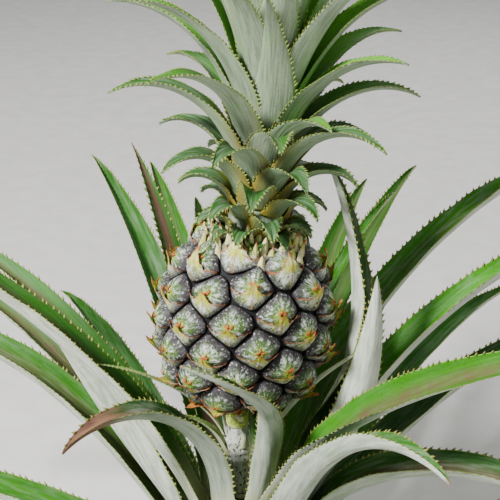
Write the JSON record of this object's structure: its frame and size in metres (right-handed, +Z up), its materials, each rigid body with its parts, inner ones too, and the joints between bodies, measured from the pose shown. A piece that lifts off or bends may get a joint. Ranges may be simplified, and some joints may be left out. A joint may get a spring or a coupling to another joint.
{
  "type": "pineapple plant",
  "caption": "Fruiting pineapple plant: a rosette of long channelled leaves on a short stem, a round fruit with large eyes on its stalk, and a crown of recurved leaves.",
  "frame": {"origin": "middle of the stem's flat cut at ground level", "axes": "+Z up along the stem, +X to the right seen from the front, -Y towards whoever looks at the front"},
  "size_m": [0.8027, 0.7788, 0.5964],
  "materials": {
    "stem": "matte, fibrous, with old leaf scars",
    "stalk": "matte, with a pale scurf and brown specks",
    "fruit_skin": "waxy grey-green eyes with orange bract edges, in dark grooves",
    "long_leaf": "smooth green above, pale grey scurf below",
    "crown_leaf": "smooth green above, pale grey scurf below",
    "bract": "pale green, drying to straw at the tips"
  },
  "bodies": {
    "root": {"stem": "stem", "fruit_stalk": "stalk", "slip_bud": "bract", "stalk_bract_1": "bract", "stalk_bract_2": "bract", "stalk_bract_3": "bract", "stalk_bract_4": "bract", "stalk_bract_5": "bract", "stalk_bract_6": "bract", "leaf_01": "long_leaf", "leaf_02": "long_leaf", "leaf_03": "long_leaf", "leaf_04": "long_leaf", "leaf_05": "long_leaf", "leaf_06": "long_leaf", "leaf_07": "long_leaf", "leaf_08": "long_leaf", "leaf_09": "long_leaf", "leaf_10": "long_leaf", "leaf_11": "long_leaf", "leaf_12": "long_leaf", "leaf_13": "long_leaf", "leaf_14": "long_leaf", "leaf_15": "long_leaf", "leaf_16": "long_leaf", "leaf_17": "long_leaf", "leaf_18": "long_leaf", "leaf_19": "long_leaf", "leaf_20": "long_leaf", "leaf_21": "long_leaf", "leaf_22": "long_leaf", "leaf_23": "long_leaf", "leaf_24": "long_leaf", "leaf_25": "long_leaf", "leaf_26": "long_leaf", "leaf_27": "long_leaf", "leaf_28": "long_leaf", "leaf_29": "long_leaf", "leaf_30": "long_leaf", "leaf_31": "long_leaf", "leaf_32": "long_leaf", "leaf_33": "long_leaf", "leaf_34": "long_leaf", "leaf_35": "long_leaf", "leaf_36": "long_leaf", "leaf_37": "long_leaf", "leaf_38": "long_leaf", "leaf_39": "long_leaf", "leaf_40": "long_leaf", "leaf_41": "long_leaf", "leaf_42": "long_leaf", "fruit": "fruit_skin", "crown": "crown_leaf"}
  },
  "joints": []
}
